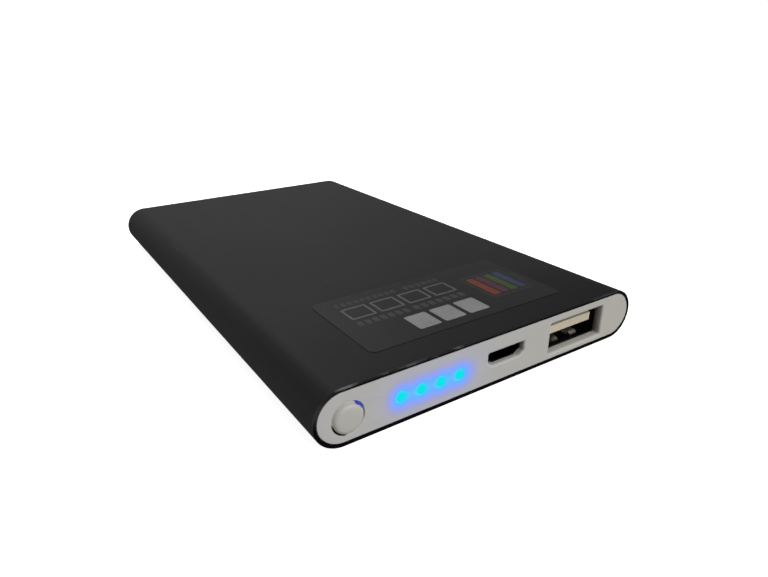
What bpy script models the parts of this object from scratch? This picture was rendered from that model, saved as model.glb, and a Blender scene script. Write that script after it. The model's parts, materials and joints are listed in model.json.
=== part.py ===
"""Slim power bank: an extruded aluminium sleeve around a lithium-polymer cell and a charger board.

Sizes here are in millimetres and the helpers turn them into Blender's metres. X runs across the
bank, Y from the port end to the plain end, and Z up. The origin is the centre of the underside.
Places along the bank are given as a depth: the distance behind the rim of the port end.
"""

import math

import bmesh
import bpy
from mathutils import Matrix

MM = 0.001

# Driving dimensions
LENGTH = 110.0
WIDTH = 67.0
HEIGHT = 9.5
SLEEVE_WALL = 0.6
PLATE = 1.6
FIT = 0.05
ARC_STEPS = 20
MID_Z = HEIGHT / 2

# The bore of the sleeve and what slides into it
BORE_WIDTH = WIDTH - 2 * SLEEVE_WALL
BORE_HEIGHT = HEIGHT - 2 * SLEEVE_WALL
INSERT_WIDTH = BORE_WIDTH - 2 * FIT
INSERT_HEIGHT = BORE_HEIGHT - 2 * FIT
INSERT_TOP = MID_Z + INSERT_HEIGHT / 2
PANEL_FACE = FIT
PANEL_BACK = PANEL_FACE + PLATE

# Port row on the front panel
LED_Z = 4.55
BUTTON_X = -28.0
BUTTON_Z = 4.45
BUTTON_HOLE_R = 2.7
BUTTON_R = 2.5
BUTTON_PROUD = 0.6
BUTTON_TRAVEL = 0.3
LED_COUNT = 4
LED_PITCH = 3.65
LED_FIRST_X = -19.06
LED_HOLE_R = 1.0
MICRO_X = 1.93
MICRO_Z = 4.96
MICRO_MOUTH = (7.85, 2.4)
MICRO_MOUTH_CORNER = (0.95, 0.7)
USB_X = 18.85
USB_Z = 4.575
USB_MOUTH = (13.5, 5.75)

# Tray
TRAY_FRONT = 3.2
TRAY_BACK = LENGTH - FIT - PLATE - FIT
TRAY_REAR_WALL = 1.7
BAY_HALF_WIDTH = 30.4
FLOOR_TOP = 1.45
RIB_DEPTH = (15.6, 16.0)
RIB_TOP = 4.0
CLIP_X = (-20.0, 4.0)
CLIP_WIDTH = 6.0
PEG_X = (-22.0, 22.0)
PEG_R = 0.8

# Main board
BOARD_Z = (2.75, 3.75)
BOARD_HALF_WIDTH = 30.0
BOARD_FRONT = 2.3
BOARD_BACK = 15.2
BOARD_STEP_X = -24.2
BOARD_STEP_FRONT = 3.1
ON_BOARD = BOARD_Z[1] + FIT
SCREW_SPOTS = {"left": (-27.5, 12.3), "right": (27.9, 9.0)}
POST_SPOTS = ((-14.0, 14.0), (9.4, 13.6))
BOSS_R = 1.8
SHANK_R = 0.8
SCREW_HOLE_R = 1.0

# USB-A socket
USB_BORE = (12.5, 5.1)
USB_SHEET = 0.3
USB_FRONT = PANEL_BACK + FIT
USB_BACK = 13.7
USB_TONGUE_WIDTH = 11.1
USB_TONGUE_Z = (4.38, 5.88)
USB_TONGUE_TIP = 1.85
USB_BLOCK_FRONT = 10.6
USB_PIN_X = (-3.5, -1.0, 1.0, 3.5)
USB_PIN_TIP = (2.8, 3.8, 3.8, 2.8)
USB_SPRING_X = 2.5

# Micro-USB socket
MICRO_BORE = (7.0, 1.85)
MICRO_CORNER = (1.35, 1.0)
MICRO_SHEET = 0.2
MICRO_FRONT = 0.95
MICRO_BACK = 6.4
MICRO_PINS = 5
MICRO_PIN_PITCH = 0.65
MICRO_TONGUE_WIDTH = 3.9
MICRO_TONGUE_Z = (5.0, 5.65)

# Side-press switch
SWITCH_DEPTH = (4.9, 7.5)
SWITCH_HALF_WIDTH = 1.85
SWITCH_Z = (ON_BOARD, 5.3)
STEM_END = 4.05
PLUNGER_TIP = STEM_END + FIT

# Cell
CELL_HALF_WIDTH = 30.0
CELL_DEPTH = (19.8, 106.3)
CELL_Z = (1.7, 7.7)
TERRACE_FRONT = 16.3
TERRACE_Z = (4.5, 4.9)
GUARD_Z = (TERRACE_Z[1] + 0.1, 5.8)
TAB_X = 15.5
WIRE_R = 0.6

# Label
LABEL_DEPTH = (5.7, 26.0)
LABEL_HALF_WIDTH = 20.5
LABEL_CORNER = 1.3
LABEL_Z = (HEIGHT + 0.02, HEIGHT + 0.1)

PLANES = {
    "XZ": Matrix(((1, 0, 0), (0, 0, -1), (0, 1, 0))),
    "YZ": Matrix(((0, 0, 1), (1, 0, 0), (0, 1, 0))),
    "XY": Matrix.Identity(3),
}

PALETTE = {
    "anodised_black": ((0.018, 0.018, 0.018), 0.45, 0.3),
    "white_abs": ((0.72, 0.71, 0.68), 0.4, 0.0),
    "clear_acrylic": ((0.30, 0.62, 0.90), 0.25, 0.0),
    "label_film": ((0.026, 0.027, 0.028), 0.3, 0.0),
    "board_green": ((0.01, 0.11, 0.05), 0.4, 0.0),
    "plated_steel": ((0.55, 0.54, 0.52), 0.3, 1.0),
    "cream_nylon": ((0.62, 0.57, 0.44), 0.5, 0.0),
    "gold_contact": ((0.83, 0.60, 0.23), 0.25, 1.0),
    "black_nylon": ((0.02, 0.02, 0.02), 0.5, 0.0),
    "led_white": ((0.80, 0.85, 0.95), 0.3, 0.0),
    "ferrite": ((0.05, 0.05, 0.055), 0.6, 0.0),
    "epoxy_black": ((0.015, 0.015, 0.015), 0.5, 0.0),
    "ceramic_tan": ((0.42, 0.27, 0.15), 0.45, 0.0),
    "pouch_foil": ((0.58, 0.59, 0.60), 0.3, 0.8),
    "nickel": ((0.60, 0.57, 0.50), 0.3, 1.0),
    "red_silicone": ((0.55, 0.02, 0.02), 0.45, 0.0),
    "black_silicone": ((0.015, 0.015, 0.015), 0.45, 0.0),
    "amber_tape": ((0.50, 0.24, 0.03), 0.3, 0.0),
    "grey_foam": ((0.09, 0.09, 0.10), 0.9, 0.0),
    "white_tape": ((0.78, 0.78, 0.75), 0.6, 0.0),
    "zinc_steel": ((0.50, 0.50, 0.52), 0.35, 1.0),
}


def clear_scene():
    for obj in list(bpy.data.objects):
        bpy.data.objects.remove(obj)


def collection(name):
    made = bpy.data.collections.new(name)
    bpy.context.scene.collection.children.link(made)
    return made


def finish(name):
    """The named finish as a material, made the first time it is asked for."""
    found = bpy.data.materials.get(name)
    if found:
        return found
    colour, roughness, metallic = PALETTE[name]
    made = bpy.data.materials.new(name)
    made.use_nodes = True
    shader = made.node_tree.nodes["Principled BSDF"]
    shader.inputs["Base Color"].default_value = (*colour, 1.0)
    shader.inputs["Roughness"].default_value = roughness
    shader.inputs["Metallic"].default_value = metallic
    return made


def at_depth(depth):
    """The Y coordinate, in millimetres, of a place this far behind the port end's rim."""
    return depth - LENGTH / 2


def middle(span):
    return (span[0] + span[1]) / 2


def across(centre, half):
    return (centre - half, centre + half)


def place(obj, centre):
    """Puts the object at centre, in millimetres, and parents it to the bank's own empty."""
    obj.location = [value * MM for value in centre]
    obj.parent = BANK
    PARTS.objects.link(obj)
    return obj


def mesh_object(name, bm, centre):
    mesh = bpy.data.meshes.new(name)
    bm.to_mesh(mesh)
    bm.free()
    return place(bpy.data.objects.new(name, mesh), centre)


def box(name, x, depth, z):
    """A block between two places on each axis."""
    y = (at_depth(depth[0]), at_depth(depth[1]))
    size = [(high - low) * MM for low, high in (x, y, z)]
    bm = bmesh.new()
    bmesh.ops.create_cube(bm, size=1.0, matrix=Matrix.Diagonal((*size, 1.0)))
    return mesh_object(name, bm, (middle(x), middle(y), middle(z)))


def cylinder(name, radius, span, centre, axis="Y", sides=24):
    """A rod along Y, with centre (x, z) and a span of depths, or along Z, with centre (x, depth)."""
    bm = bmesh.new()
    turn = Matrix.Rotation(math.radians(90), 4, "X") if axis == "Y" else Matrix.Identity(4)
    bmesh.ops.create_cone(
        bm,
        cap_ends=True,
        segments=sides,
        radius1=radius * MM,
        radius2=radius * MM,
        depth=(span[1] - span[0]) * MM,
        matrix=turn,
    )
    if axis == "Y":
        return mesh_object(name, bm, (centre[0], at_depth(middle(span)), centre[1]))
    return mesh_object(name, bm, (centre[0], at_depth(centre[1]), middle(span)))


def prism(name, loops, plane, span, centre=(0.0, 0.0)):
    """A flat outline extruded between two places. A second loop inside the first is a hole.

    The loops lie in the named plane about centre. In "XY" and "YZ" the Y of a point is a depth.
    """
    curve = bpy.data.curves.new(name, "CURVE")
    curve.dimensions = "2D"
    curve.fill_mode = "BOTH"
    curve.extrude = (span[1] - span[0]) / 2 * MM
    for loop in loops:
        spline = curve.splines.new("POLY")
        spline.points.add(len(loop) - 1)
        spline.use_cyclic_u = True
        for point, (u, v) in zip(spline.points, loop):
            point.co = (u * MM, v * MM, 0.0, 1.0)
    guide = bpy.data.objects.new(name + "_outline", curve)
    PARTS.objects.link(guide)
    bpy.context.view_layer.update()
    solid = bpy.data.meshes.new_from_object(guide.evaluated_get(bpy.context.evaluated_depsgraph_get()))
    bpy.data.objects.remove(guide)
    bpy.data.curves.remove(curve)
    bm = bmesh.new()
    bm.from_mesh(solid)
    bpy.data.meshes.remove(solid)
    bmesh.ops.remove_doubles(bm, verts=bm.verts, dist=1e-7)
    bmesh.ops.transform(bm, matrix=PLANES[plane].to_4x4(), verts=bm.verts)
    bmesh.ops.recalc_face_normals(bm, faces=bm.faces)
    spots = {
        "XZ": (centre[0], at_depth(middle(span)), centre[1]),
        "YZ": (middle(span), at_depth(centre[0]), centre[1]),
        "XY": (centre[0], at_depth(centre[1]), middle(span)),
    }
    return mesh_object(name, bm, spots[plane])


def turned(name, profile, centre, steps=32):
    """A profile of (radius, height) points, top to bottom, turned about an axis that points out of
    the port end. centre is the axis's (x, z), and heights run from the rim outwards."""
    mesh = bpy.data.meshes.new(name)
    points = [(radius * MM, 0.0, height * MM) for radius, height in profile]
    mesh.from_pydata(points, [(i, i + 1) for i in range(len(points) - 1)], [])
    obj = place(bpy.data.objects.new(name, mesh), (centre[0], at_depth(0.0), centre[1]))
    obj.rotation_euler = (math.radians(90), 0.0, 0.0)
    screw = obj.modifiers.new("Turn", "SCREW")
    screw.steps = steps
    screw.render_steps = steps
    screw.use_merge_vertices = True
    screw.merge_threshold = 1e-6
    return obj


def strip(name, route, thickness, x):
    """A bent metal strip: its centre line is a route of (depth, z) points, and x its two edges."""
    half = thickness / 2
    sides = ([], [])
    for i, (depth, z) in enumerate(route):
        before = route[max(i - 1, 0)]
        after = route[min(i + 1, len(route) - 1)]
        into = math.atan2(z - before[1], depth - before[0]) if i else None
        out = math.atan2(after[1] - z, after[0] - depth) if i < len(route) - 1 else into
        into = out if into is None else into
        heading = (into + out) / 2
        reach = half / math.cos((out - into) / 2)
        for side, sign in zip(sides, (1, -1)):
            side.append((depth - sign * reach * math.sin(heading), z + sign * reach * math.cos(heading)))
    return prism(name, [sides[0] + sides[1][::-1]], "YZ", x)


def wire(name, route, radius):
    """A round lead through (x, depth, z) points, smoothed with a Catmull-Rom curve."""
    curve = bpy.data.curves.new(name, "CURVE")
    curve.dimensions = "3D"
    curve.bevel_depth = radius * MM
    curve.bevel_resolution = 2
    curve.use_fill_caps = True
    points = smooth_line([(x, at_depth(depth), z) for x, depth, z in route])
    spline = curve.splines.new("POLY")
    spline.points.add(len(points) - 1)
    for target, point in zip(spline.points, points):
        target.co = (*[value * MM for value in point], 1.0)
    return place(bpy.data.objects.new(name, curve), (0.0, 0.0, 0.0))


def smooth_line(knots, steps=4):
    ends = [knots[0], *knots, knots[-1]]
    line = []
    for a, b, c, d in zip(ends, ends[1:], ends[2:], ends[3:]):
        for k in range(steps):
            t = k / steps
            line.append(
                tuple(
                    0.5 * (2 * q + (r - p) * t + (2 * p - 5 * q + 4 * r - s) * t**2 + (3 * q - p - 3 * r + s) * t**3)
                    for p, q, r, s in zip(a, b, c, d)
                )
            )
    return [*line, knots[-1]]


def boolean(target, operation, *others):
    """Cuts the others from the target, or joins them to it, and puts them away as helpers."""
    for other in others:
        step = target.modifiers.new(operation.title(), "BOOLEAN")
        step.operation = operation
        step.object = other
        other.hide_render = True
        other.display_type = "WIRE"
        PARTS.objects.unlink(other)
        CUTTERS.objects.link(other)
    return target


def cut(target, *others):
    return boolean(target, "DIFFERENCE", *others)


def join(target, *others):
    return boolean(target, "UNION", *others)


def soften(obj, width, segments=1, angle=50.0):
    """Rounds or chamfers the edges that turn by more than the angle."""
    step = obj.modifiers.new("Soften", "BEVEL")
    step.width = width * MM
    step.segments = segments
    step.limit_method = "ANGLE"
    step.angle_limit = math.radians(angle)
    return obj


def done(obj, finish_name, smooth=True):
    """Gives the object its finish, and smooth shading that keeps its corners sharp."""
    obj.data.materials.append(finish(finish_name))
    if smooth and obj.type == "MESH" and obj.data.polygons:
        obj.data.shade_smooth()
        obj.data.set_sharp_from_angle(angle=math.radians(35))
    return obj


def arc(centre, radius, start, end, steps):
    """Points on an arc, with its angles in degrees."""
    turn = (end - start) / steps
    angles = [math.radians(start + turn * i) for i in range(steps + 1)]
    return [(centre[0] + radius * math.cos(a), centre[1] + radius * math.sin(a)) for a in angles]


def stadium(width, height):
    """A slot shape: two straight sides joined by half circles."""
    radius = height / 2
    reach = width / 2 - radius
    right = arc((reach, 0.0), radius, -90, 90, ARC_STEPS)
    left = arc((-reach, 0.0), radius, 90, 270, ARC_STEPS)
    return right + left


def rounded_rectangle(half_width, half_height, radius, steps=5):
    x, y = half_width - radius, half_height - radius
    corners = ((x, -y, -90), (x, y, 0), (-x, y, 90), (-x, -y, 180))
    return [point for cx, cy, start in corners for point in arc((cx, cy), radius, start, start + 90, steps)]


def port_outline(width, height, corner):
    """A micro-USB outline: a flat-topped slot whose two lower corners slope inwards."""
    x, z = width / 2, height / 2
    run, rise = corner
    return [(-x, z), (-x, rise - z), (run - x, -z), (x - run, -z), (x, rise - z), (x, z)]


def led_places():
    return [LED_FIRST_X + LED_PITCH * i for i in range(LED_COUNT)]


# Casing


def aluminium_sleeve():
    loops = [stadium(WIDTH, HEIGHT), stadium(BORE_WIDTH, BORE_HEIGHT)]
    sleeve = prism("aluminium_sleeve", loops, "XZ", (0.0, LENGTH), (0.0, MID_Z))
    soften(sleeve, 0.12)
    done(sleeve, "anodised_black")


def panel_clip(x):
    """A springy arm behind the panel whose barb drops into a window in the tray's floor."""
    barb_front, barb_low, arm_z, arm_end = 6.4, 1.0, (1.6, 2.25), 8.0
    side = [
        (PANEL_BACK - 0.4, arm_z[0]),
        (barb_front, arm_z[0]),
        (barb_front, barb_low),
        (barb_front + 0.4, barb_low),
        (arm_end, arm_z[0] + 0.15),
        (arm_end, arm_z[1]),
        (PANEL_BACK - 0.4, arm_z[1]),
    ]
    return prism("clip_arm", [side], "YZ", across(x, CLIP_WIDTH / 2))


def front_panel():
    through = (PANEL_FACE - 1.0, PANEL_BACK + 1.0)
    span = (PANEL_FACE, PANEL_BACK)
    panel = prism("front_panel", [stadium(INSERT_WIDTH, INSERT_HEIGHT)], "XZ", span, (0.0, MID_Z))
    soften(panel, 0.12)
    usb_mouth = box("usb_mouth", across(USB_X, USB_MOUTH[0] / 2), through, across(USB_Z, USB_MOUTH[1] / 2))
    micro_outline = port_outline(*MICRO_MOUTH, MICRO_MOUTH_CORNER)
    micro_mouth = prism("micro_mouth", [micro_outline], "XZ", through, (MICRO_X, MICRO_Z))
    button_hole = cylinder("button_hole", BUTTON_HOLE_R, through, (BUTTON_X, BUTTON_Z), sides=32)
    led_holes = [cylinder(f"led_hole_{i}", LED_HOLE_R, through, (x, LED_Z)) for i, x in enumerate(led_places())]
    cut(panel, usb_mouth, micro_mouth, button_hole, *led_holes)
    join(panel, *[panel_clip(x) for x in CLIP_X])
    done(panel, "white_abs")


def rear_cap():
    span = (LENGTH - PANEL_BACK, LENGTH - PANEL_FACE)
    cap = prism("rear_cap", [stadium(INSERT_WIDTH, INSERT_HEIGHT)], "XZ", span, (0.0, MID_Z))
    soften(cap, 0.12)
    peg_span = (TRAY_BACK - 1.2, span[0] + 0.4)
    join(cap, *[cylinder(f"cap_peg_{i}", PEG_R, peg_span, (x, MID_Z), sides=16) for i, x in enumerate(PEG_X)])
    done(cap, "white_abs")


def inner_tray():
    outline = stadium(INSERT_WIDTH, INSERT_HEIGHT)
    tray = prism("inner_tray", [outline], "XZ", (TRAY_FRONT, TRAY_BACK), (0.0, MID_Z))
    bay_back = TRAY_BACK - TRAY_REAR_WALL
    bay = box("bay", across(0.0, BAY_HALF_WIDTH), (TRAY_FRONT - 1.0, bay_back), (FLOOR_TOP, HEIGHT))
    windows = [
        box(f"clip_window_{i}", across(x, CLIP_WIDTH / 2 + 0.2), (6.2, 7.7), (0.0, FLOOR_TOP + 0.3))
        for i, x in enumerate(CLIP_X)
    ]
    sockets = [
        cylinder(f"peg_socket_{i}", PEG_R + FIT, (TRAY_BACK - 1.4, TRAY_BACK + 1.0), (x, MID_Z), sides=16)
        for i, x in enumerate(PEG_X)
    ]
    cut(tray, bay, *windows, *sockets)
    below = FLOOR_TOP - 0.1
    rib = box("rib", across(0.0, BAY_HALF_WIDTH + 0.1), RIB_DEPTH, (below, RIB_TOP))
    stands = [
        cylinder(f"stand_{i}", BOSS_R, (below, BOARD_Z[0] - FIT), spot, "Z", 20)
        for i, spot in enumerate((*SCREW_SPOTS.values(), *POST_SPOTS))
    ]
    join(tray, rib, *stands)
    pilots = [
        cylinder(f"pilot_{side}", SHANK_R + FIT, (1.2, BOARD_Z[0] + 1.0), spot, "Z", 16)
        for side, spot in SCREW_SPOTS.items()
    ]
    cut(tray, *pilots)
    done(tray, "white_abs")


def top_label():
    half_depth = (LABEL_DEPTH[1] - LABEL_DEPTH[0]) / 2
    outline = rounded_rectangle(LABEL_HALF_WIDTH, half_depth, LABEL_CORNER)
    label = prism("top_label", [outline], "XY", LABEL_Z, (0.0, middle(LABEL_DEPTH)))
    done(label, "label_film")


# Button, switch and charge lights


def power_button():
    """The cap with its rounded edge, the flange that keeps it in, and the stem to the switch."""
    edge = 0.8
    rim_height = BUTTON_PROUD - 0.08
    corner = arc((BUTTON_R - edge, rim_height - edge), edge, 80, 0, 6)
    profile = [
        (0.0, BUTTON_PROUD),
        (1.0, BUTTON_PROUD - 0.02),
        *corner,
        (BUTTON_R, -PANEL_BACK - 0.1),
        (BUTTON_R + 0.45, -PANEL_BACK - 0.1),
        (BUTTON_R + 0.45, -PANEL_BACK - 0.7),
        (0.65, -PANEL_BACK - 0.7),
        (0.65, -STEM_END),
        (0.0, -STEM_END),
    ]
    done(turned("power_button", profile, (BUTTON_X, BUTTON_Z)), "white_abs", smooth=False)


def switch():
    housing = box("switch_housing", across(BUTTON_X, SWITCH_HALF_WIDTH), SWITCH_DEPTH, SWITCH_Z)
    cavity_front = SWITCH_DEPTH[0] + 0.3
    room = box("switch_room", across(BUTTON_X, 1.45), (cavity_front, 6.65), across(BUTTON_Z, 0.6))
    mouth = box("switch_mouth", across(BUTTON_X, 0.9), (4.0, cavity_front + 0.2), across(BUTTON_Z, 0.5))
    done(cut(housing, room, mouth), "black_nylon")

    flange_front, flange_back = cavity_front + 0.1, cavity_front + 0.7
    tee = [
        (-0.75, PLUNGER_TIP),
        (0.75, PLUNGER_TIP),
        (0.75, flange_front),
        (1.15, flange_front),
        (1.15, flange_back),
        (-1.15, flange_back),
        (-1.15, flange_front),
        (-0.75, flange_front),
    ]
    plunger = prism("switch_plunger", [tee], "XY", across(BUTTON_Z, 0.4), (BUTTON_X, 0.0))
    done(plunger, "cream_nylon")

    bow_radius, sweep, leaf = 3.0, 23, 0.1
    centre = (0.0, flange_back + BUTTON_TRAVEL + FIT + leaf + bow_radius)
    outer = arc(centre, bow_radius + leaf, -90 - sweep, -90 + sweep, 12)
    inner = arc(centre, bow_radius, -90 + sweep, -90 - sweep, 12)
    spring = prism("switch_spring", [outer + inner], "XY", across(BUTTON_Z, 0.45), (BUTTON_X, 0.0))
    done(spring, "plated_steel")

    inside, outside = SWITCH_HALF_WIDTH + FIT, SWITCH_HALF_WIDTH + FIT + 0.15
    low, under, top = ON_BOARD, SWITCH_Z[1] + FIT, SWITCH_Z[1] + FIT + 0.15
    bracket = [
        (-outside, low),
        (-inside, low),
        (-inside, under),
        (inside, under),
        (inside, low),
        (outside, low),
        (outside, top),
        (-outside, top),
    ]
    done(prism("switch_bracket", [bracket], "XZ", (5.1, 7.2), (BUTTON_X, 0.0)), "plated_steel")


def charge_lights():
    ends = led_places()
    bar_depth = (PANEL_BACK + 0.1, 2.3)
    guide = box("light_guide", (ends[0] - 1.5, ends[-1] + 1.5), bar_depth, across(LED_Z, 0.65))
    pin_span = (PANEL_FACE, 2.0)
    pins = [cylinder(f"guide_pin_{i}", LED_HOLE_R - FIT, pin_span, (x, LED_Z)) for i, x in enumerate(ends)]
    done(join(guide, *pins), "clear_acrylic")
    for i, x in enumerate(ends, 1):
        led = box(f"led_{i}", across(x, 0.8), (2.45, 3.25), (ON_BOARD, 5.3))
        done(soften(led, 0.1), "led_white")
        resistor = box(f"led_resistor_{i}", across(x, 0.8), (4.4, 5.2), (ON_BOARD, ON_BOARD + 0.45))
        done(soften(resistor, 0.06), "epoxy_black")


# Boards


def screw_hole(side, z):
    return cylinder(f"screw_hole_{side}", SCREW_HOLE_R, z, SCREW_SPOTS[side], "Z", 20)


def main_board():
    notch = across(USB_X, USB_BORE[0] / 2 + USB_SHEET + 0.3)
    outline = [
        (-BOARD_HALF_WIDTH, BOARD_STEP_FRONT),
        (BOARD_STEP_X, BOARD_STEP_FRONT),
        (BOARD_STEP_X, BOARD_FRONT),
        (notch[0], BOARD_FRONT),
        (notch[0], USB_BACK + 0.1),
        (notch[1], USB_BACK + 0.1),
        (notch[1], BOARD_FRONT),
        (BOARD_HALF_WIDTH, BOARD_FRONT),
        (BOARD_HALF_WIDTH, BOARD_BACK),
        (-BOARD_HALF_WIDTH, BOARD_BACK),
    ]
    board = prism("main_board", [outline], "XY", BOARD_Z)
    cut(board, *[screw_hole(side, (BOARD_Z[0] - 1.0, BOARD_Z[1] + 1.0)) for side in SCREW_SPOTS])
    done(board, "board_green")


def board_screw(side):
    spot = SCREW_SPOTS[side]
    head = cylinder(f"board_screw_{side}", 1.5, (ON_BOARD, ON_BOARD + 0.8), spot, "Z", 20)
    shank = cylinder(f"shank_{side}", SHANK_R, (1.35, ON_BOARD + 0.3), spot, "Z", 14)
    depth = spot[1]
    slot_z = (ON_BOARD + 0.4, ON_BOARD + 2.0)
    long_slot = box(f"slot_a_{side}", across(spot[0], 0.9), across(depth, 0.16), slot_z)
    cross_slot = box(f"slot_b_{side}", across(spot[0], 0.16), across(depth, 0.9), slot_z)
    done(cut(join(head, shank), long_slot, cross_slot), "zinc_steel")


def chip(name, centre, size, z, pins_a_side, pitch, reach):
    """A moulded package with legs along its two long sides."""
    x, depth = centre
    body = box(name, across(x, size[0] / 2), across(depth, size[1] / 2), (z + 0.12, z + size[2]))
    soften(body, 0.12)
    first = x - pitch * (pins_a_side - 1) / 2
    legs = [
        box(
            f"{name}_leg_{i}",
            across(first + pitch * i, 0.2),
            across(depth, size[1] / 2 + reach),
            (z, z + 0.3),
        )
        for i in range(pins_a_side)
    ]
    done(join(body, *legs), "epoxy_black")


def loose_block(name, centre, size, z, finish_name, edge):
    x, depth = centre
    block = box(name, across(x, size[0] / 2), across(depth, size[1] / 2), (z, z + size[2]))
    done(soften(block, edge), finish_name)


def board_components():
    chip("charge_controller", (-17.5, 10.2), (4.9, 3.9, 1.5), ON_BOARD, 4, 1.27, 1.0)
    loose_block("power_inductor", (-8.6, 10.3), (6.0, 6.0, 2.8), ON_BOARD, "ferrite", 0.5)
    loose_block("input_capacitor", (-2.6, 9.4), (1.6, 3.2, 1.6), ON_BOARD, "ceramic_tan", 0.12)
    loose_block("battery_capacitor", (3.0, 9.8), (3.2, 1.6, 1.6), ON_BOARD, "ceramic_tan", 0.12)
    loose_block("output_capacitor", (8.9, 9.0), (1.6, 3.2, 1.6), ON_BOARD, "ceramic_tan", 0.12)


# USB-A socket


def usb_spring(x, wall_z, inwards):
    """A leaf that grips the plug: rooted in the wall behind its window and bowed into the bore."""
    route = [(9.6, 0.0), (8.6, 0.0), (4.4, 0.5), (3.2, 0.5), (2.5, 0.06)]
    bowed = [(depth, wall_z + inwards * rise) for depth, rise in route]
    return strip("usb_leaf", bowed, USB_SHEET - 0.08, across(x, 0.9))


def usb_socket_shell():
    half_width, half_height = USB_BORE[0] / 2, USB_BORE[1] / 2
    loops = [
        rounded_rectangle(half_width + USB_SHEET, half_height + USB_SHEET, 0.7, 3),
        rounded_rectangle(half_width, half_height, 0.4, 3),
    ]
    shell = prism("usb_socket_shell", loops, "XZ", (USB_FRONT, USB_BACK), (USB_X, USB_Z))
    windows, leaves, tabs = [], [], []
    for sign in (-1, 1):
        wall_z = USB_Z + sign * (half_height + USB_SHEET / 2)
        for side in (-1, 1):
            x = USB_X + side * USB_SPRING_X
            windows.append(box("usb_window", across(x, 1.2), (2.3, 9.0), across(wall_z, 0.5)))
            leaves.append(usb_spring(x, wall_z, -sign))
    for side in (-1, 1):
        inner, outer = sorted((USB_X + side * (half_width + 0.1), USB_X + side * (half_width + 1.4)))
        for depth in (4.8, 11.8):
            tabs.append(box("usb_tab", (inner, outer), across(depth, 0.7), (ON_BOARD, ON_BOARD + 0.3)))
    cut(shell, *windows)
    join(shell, *leaves, *tabs)
    done(shell, "plated_steel")


def usb_socket_insides():
    block_x = across(USB_X, USB_BORE[0] / 2 - 0.1)
    block_z = across(USB_Z, USB_BORE[1] / 2 - 0.75)
    block = box("usb_insulator", block_x, (USB_BLOCK_FRONT, USB_BACK - 0.2), (block_z[0], USB_TONGUE_Z[1]))
    tongue = box(
        "usb_tongue",
        across(USB_X, USB_TONGUE_WIDTH / 2),
        (USB_TONGUE_TIP, USB_BLOCK_FRONT + 0.5),
        USB_TONGUE_Z,
    )
    slot_z = (USB_TONGUE_Z[0] - 0.4, USB_TONGUE_Z[0] - 0.01)
    slots = [
        box("usb_pin_slot", across(USB_X + x, 0.6), (USB_BLOCK_FRONT - 0.5, USB_BACK + 0.5), slot_z)
        for x in USB_PIN_X
    ]
    done(cut(join(block, tongue), *slots), "cream_nylon")
    line_z = USB_TONGUE_Z[0] - 0.06 - 0.125
    for i, (x, tip) in enumerate(zip(USB_PIN_X, USB_PIN_TIP), 1):
        rear = USB_BACK + 0.25
        foot_z = ON_BOARD + 0.125
        route = [(tip, line_z), (rear, line_z), (rear + 0.25, foot_z), (rear + 1.1, foot_z)]
        pin = strip(f"usb_contact_{i}", route, 0.25, across(USB_X + x, 0.5))
        done(pin, "gold_contact")


# Micro-USB socket


def micro_socket_shell():
    width, height = MICRO_BORE
    outer = port_outline(width + 2 * MICRO_SHEET, height + 2 * MICRO_SHEET, MICRO_CORNER)
    inner = port_outline(width, height, (MICRO_CORNER[0] - 0.08, MICRO_CORNER[1] - 0.08))
    shell = prism("micro_socket_shell", [outer, inner], "XZ", (MICRO_FRONT, MICRO_BACK), (MICRO_X, MICRO_Z))
    legs = []
    for side in (-1, 1):
        edge = side * (width / 2 + MICRO_SHEET)
        inside, outside, toe = edge - side * 0.1, edge + side * 0.12, edge + side * 0.9
        foot_top = ON_BOARD + 0.2
        angle = [
            (inside, MICRO_Z + 0.5),
            (inside, ON_BOARD),
            (toe, ON_BOARD),
            (toe, foot_top),
            (outside, foot_top),
            (outside, MICRO_Z + 0.5),
        ]
        for depth in (3.2, 5.4):
            legs.append(prism("micro_leg", [angle], "XZ", across(depth, 0.5), (MICRO_X, 0.0)))
    done(join(shell, *legs), "plated_steel")


def micro_socket_insides():
    half_width = MICRO_BORE[0] / 2 - 0.6
    top = MICRO_Z + MICRO_BORE[1] / 2 - 0.1
    block = box("micro_insulator", across(MICRO_X, half_width), (4.9, 6.2), (MICRO_Z - 0.35, top))
    tongue = box("micro_tongue", across(MICRO_X, MICRO_TONGUE_WIDTH / 2), (1.8, 5.2), MICRO_TONGUE_Z)
    sheet, gap = 0.12, 0.06
    line_z = MICRO_TONGUE_Z[0] - gap - sheet / 2
    first = MICRO_X - MICRO_PIN_PITCH * (MICRO_PINS - 1) / 2
    places = [first + MICRO_PIN_PITCH * i for i in range(MICRO_PINS)]
    slot_z = (MICRO_TONGUE_Z[0] - 0.25, MICRO_TONGUE_Z[0] - 0.01)
    slots = [box("micro_pin_slot", across(x, 0.2), (4.0, 7.0), slot_z) for x in places]
    done(cut(join(block, tongue), *slots), "black_nylon")
    foot_z = ON_BOARD + sheet / 2
    for i, x in enumerate(places, 1):
        route = [(2.2, line_z), (6.6, line_z), (6.8, foot_z), (7.5, foot_z)]
        pin = strip(f"micro_contact_{i}", route, sheet, across(x, 0.14))
        done(pin, "gold_contact")


# Cell


def battery_cell():
    cell = box("battery_cell", across(0.0, CELL_HALF_WIDTH), CELL_DEPTH, CELL_Z)
    soften(cell, 1.1, segments=3)
    terrace = box("terrace", across(0.0, 28.0), (TERRACE_FRONT, CELL_DEPTH[0] + 0.5), TERRACE_Z)
    done(join(cell, terrace), "pouch_foil")


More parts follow.
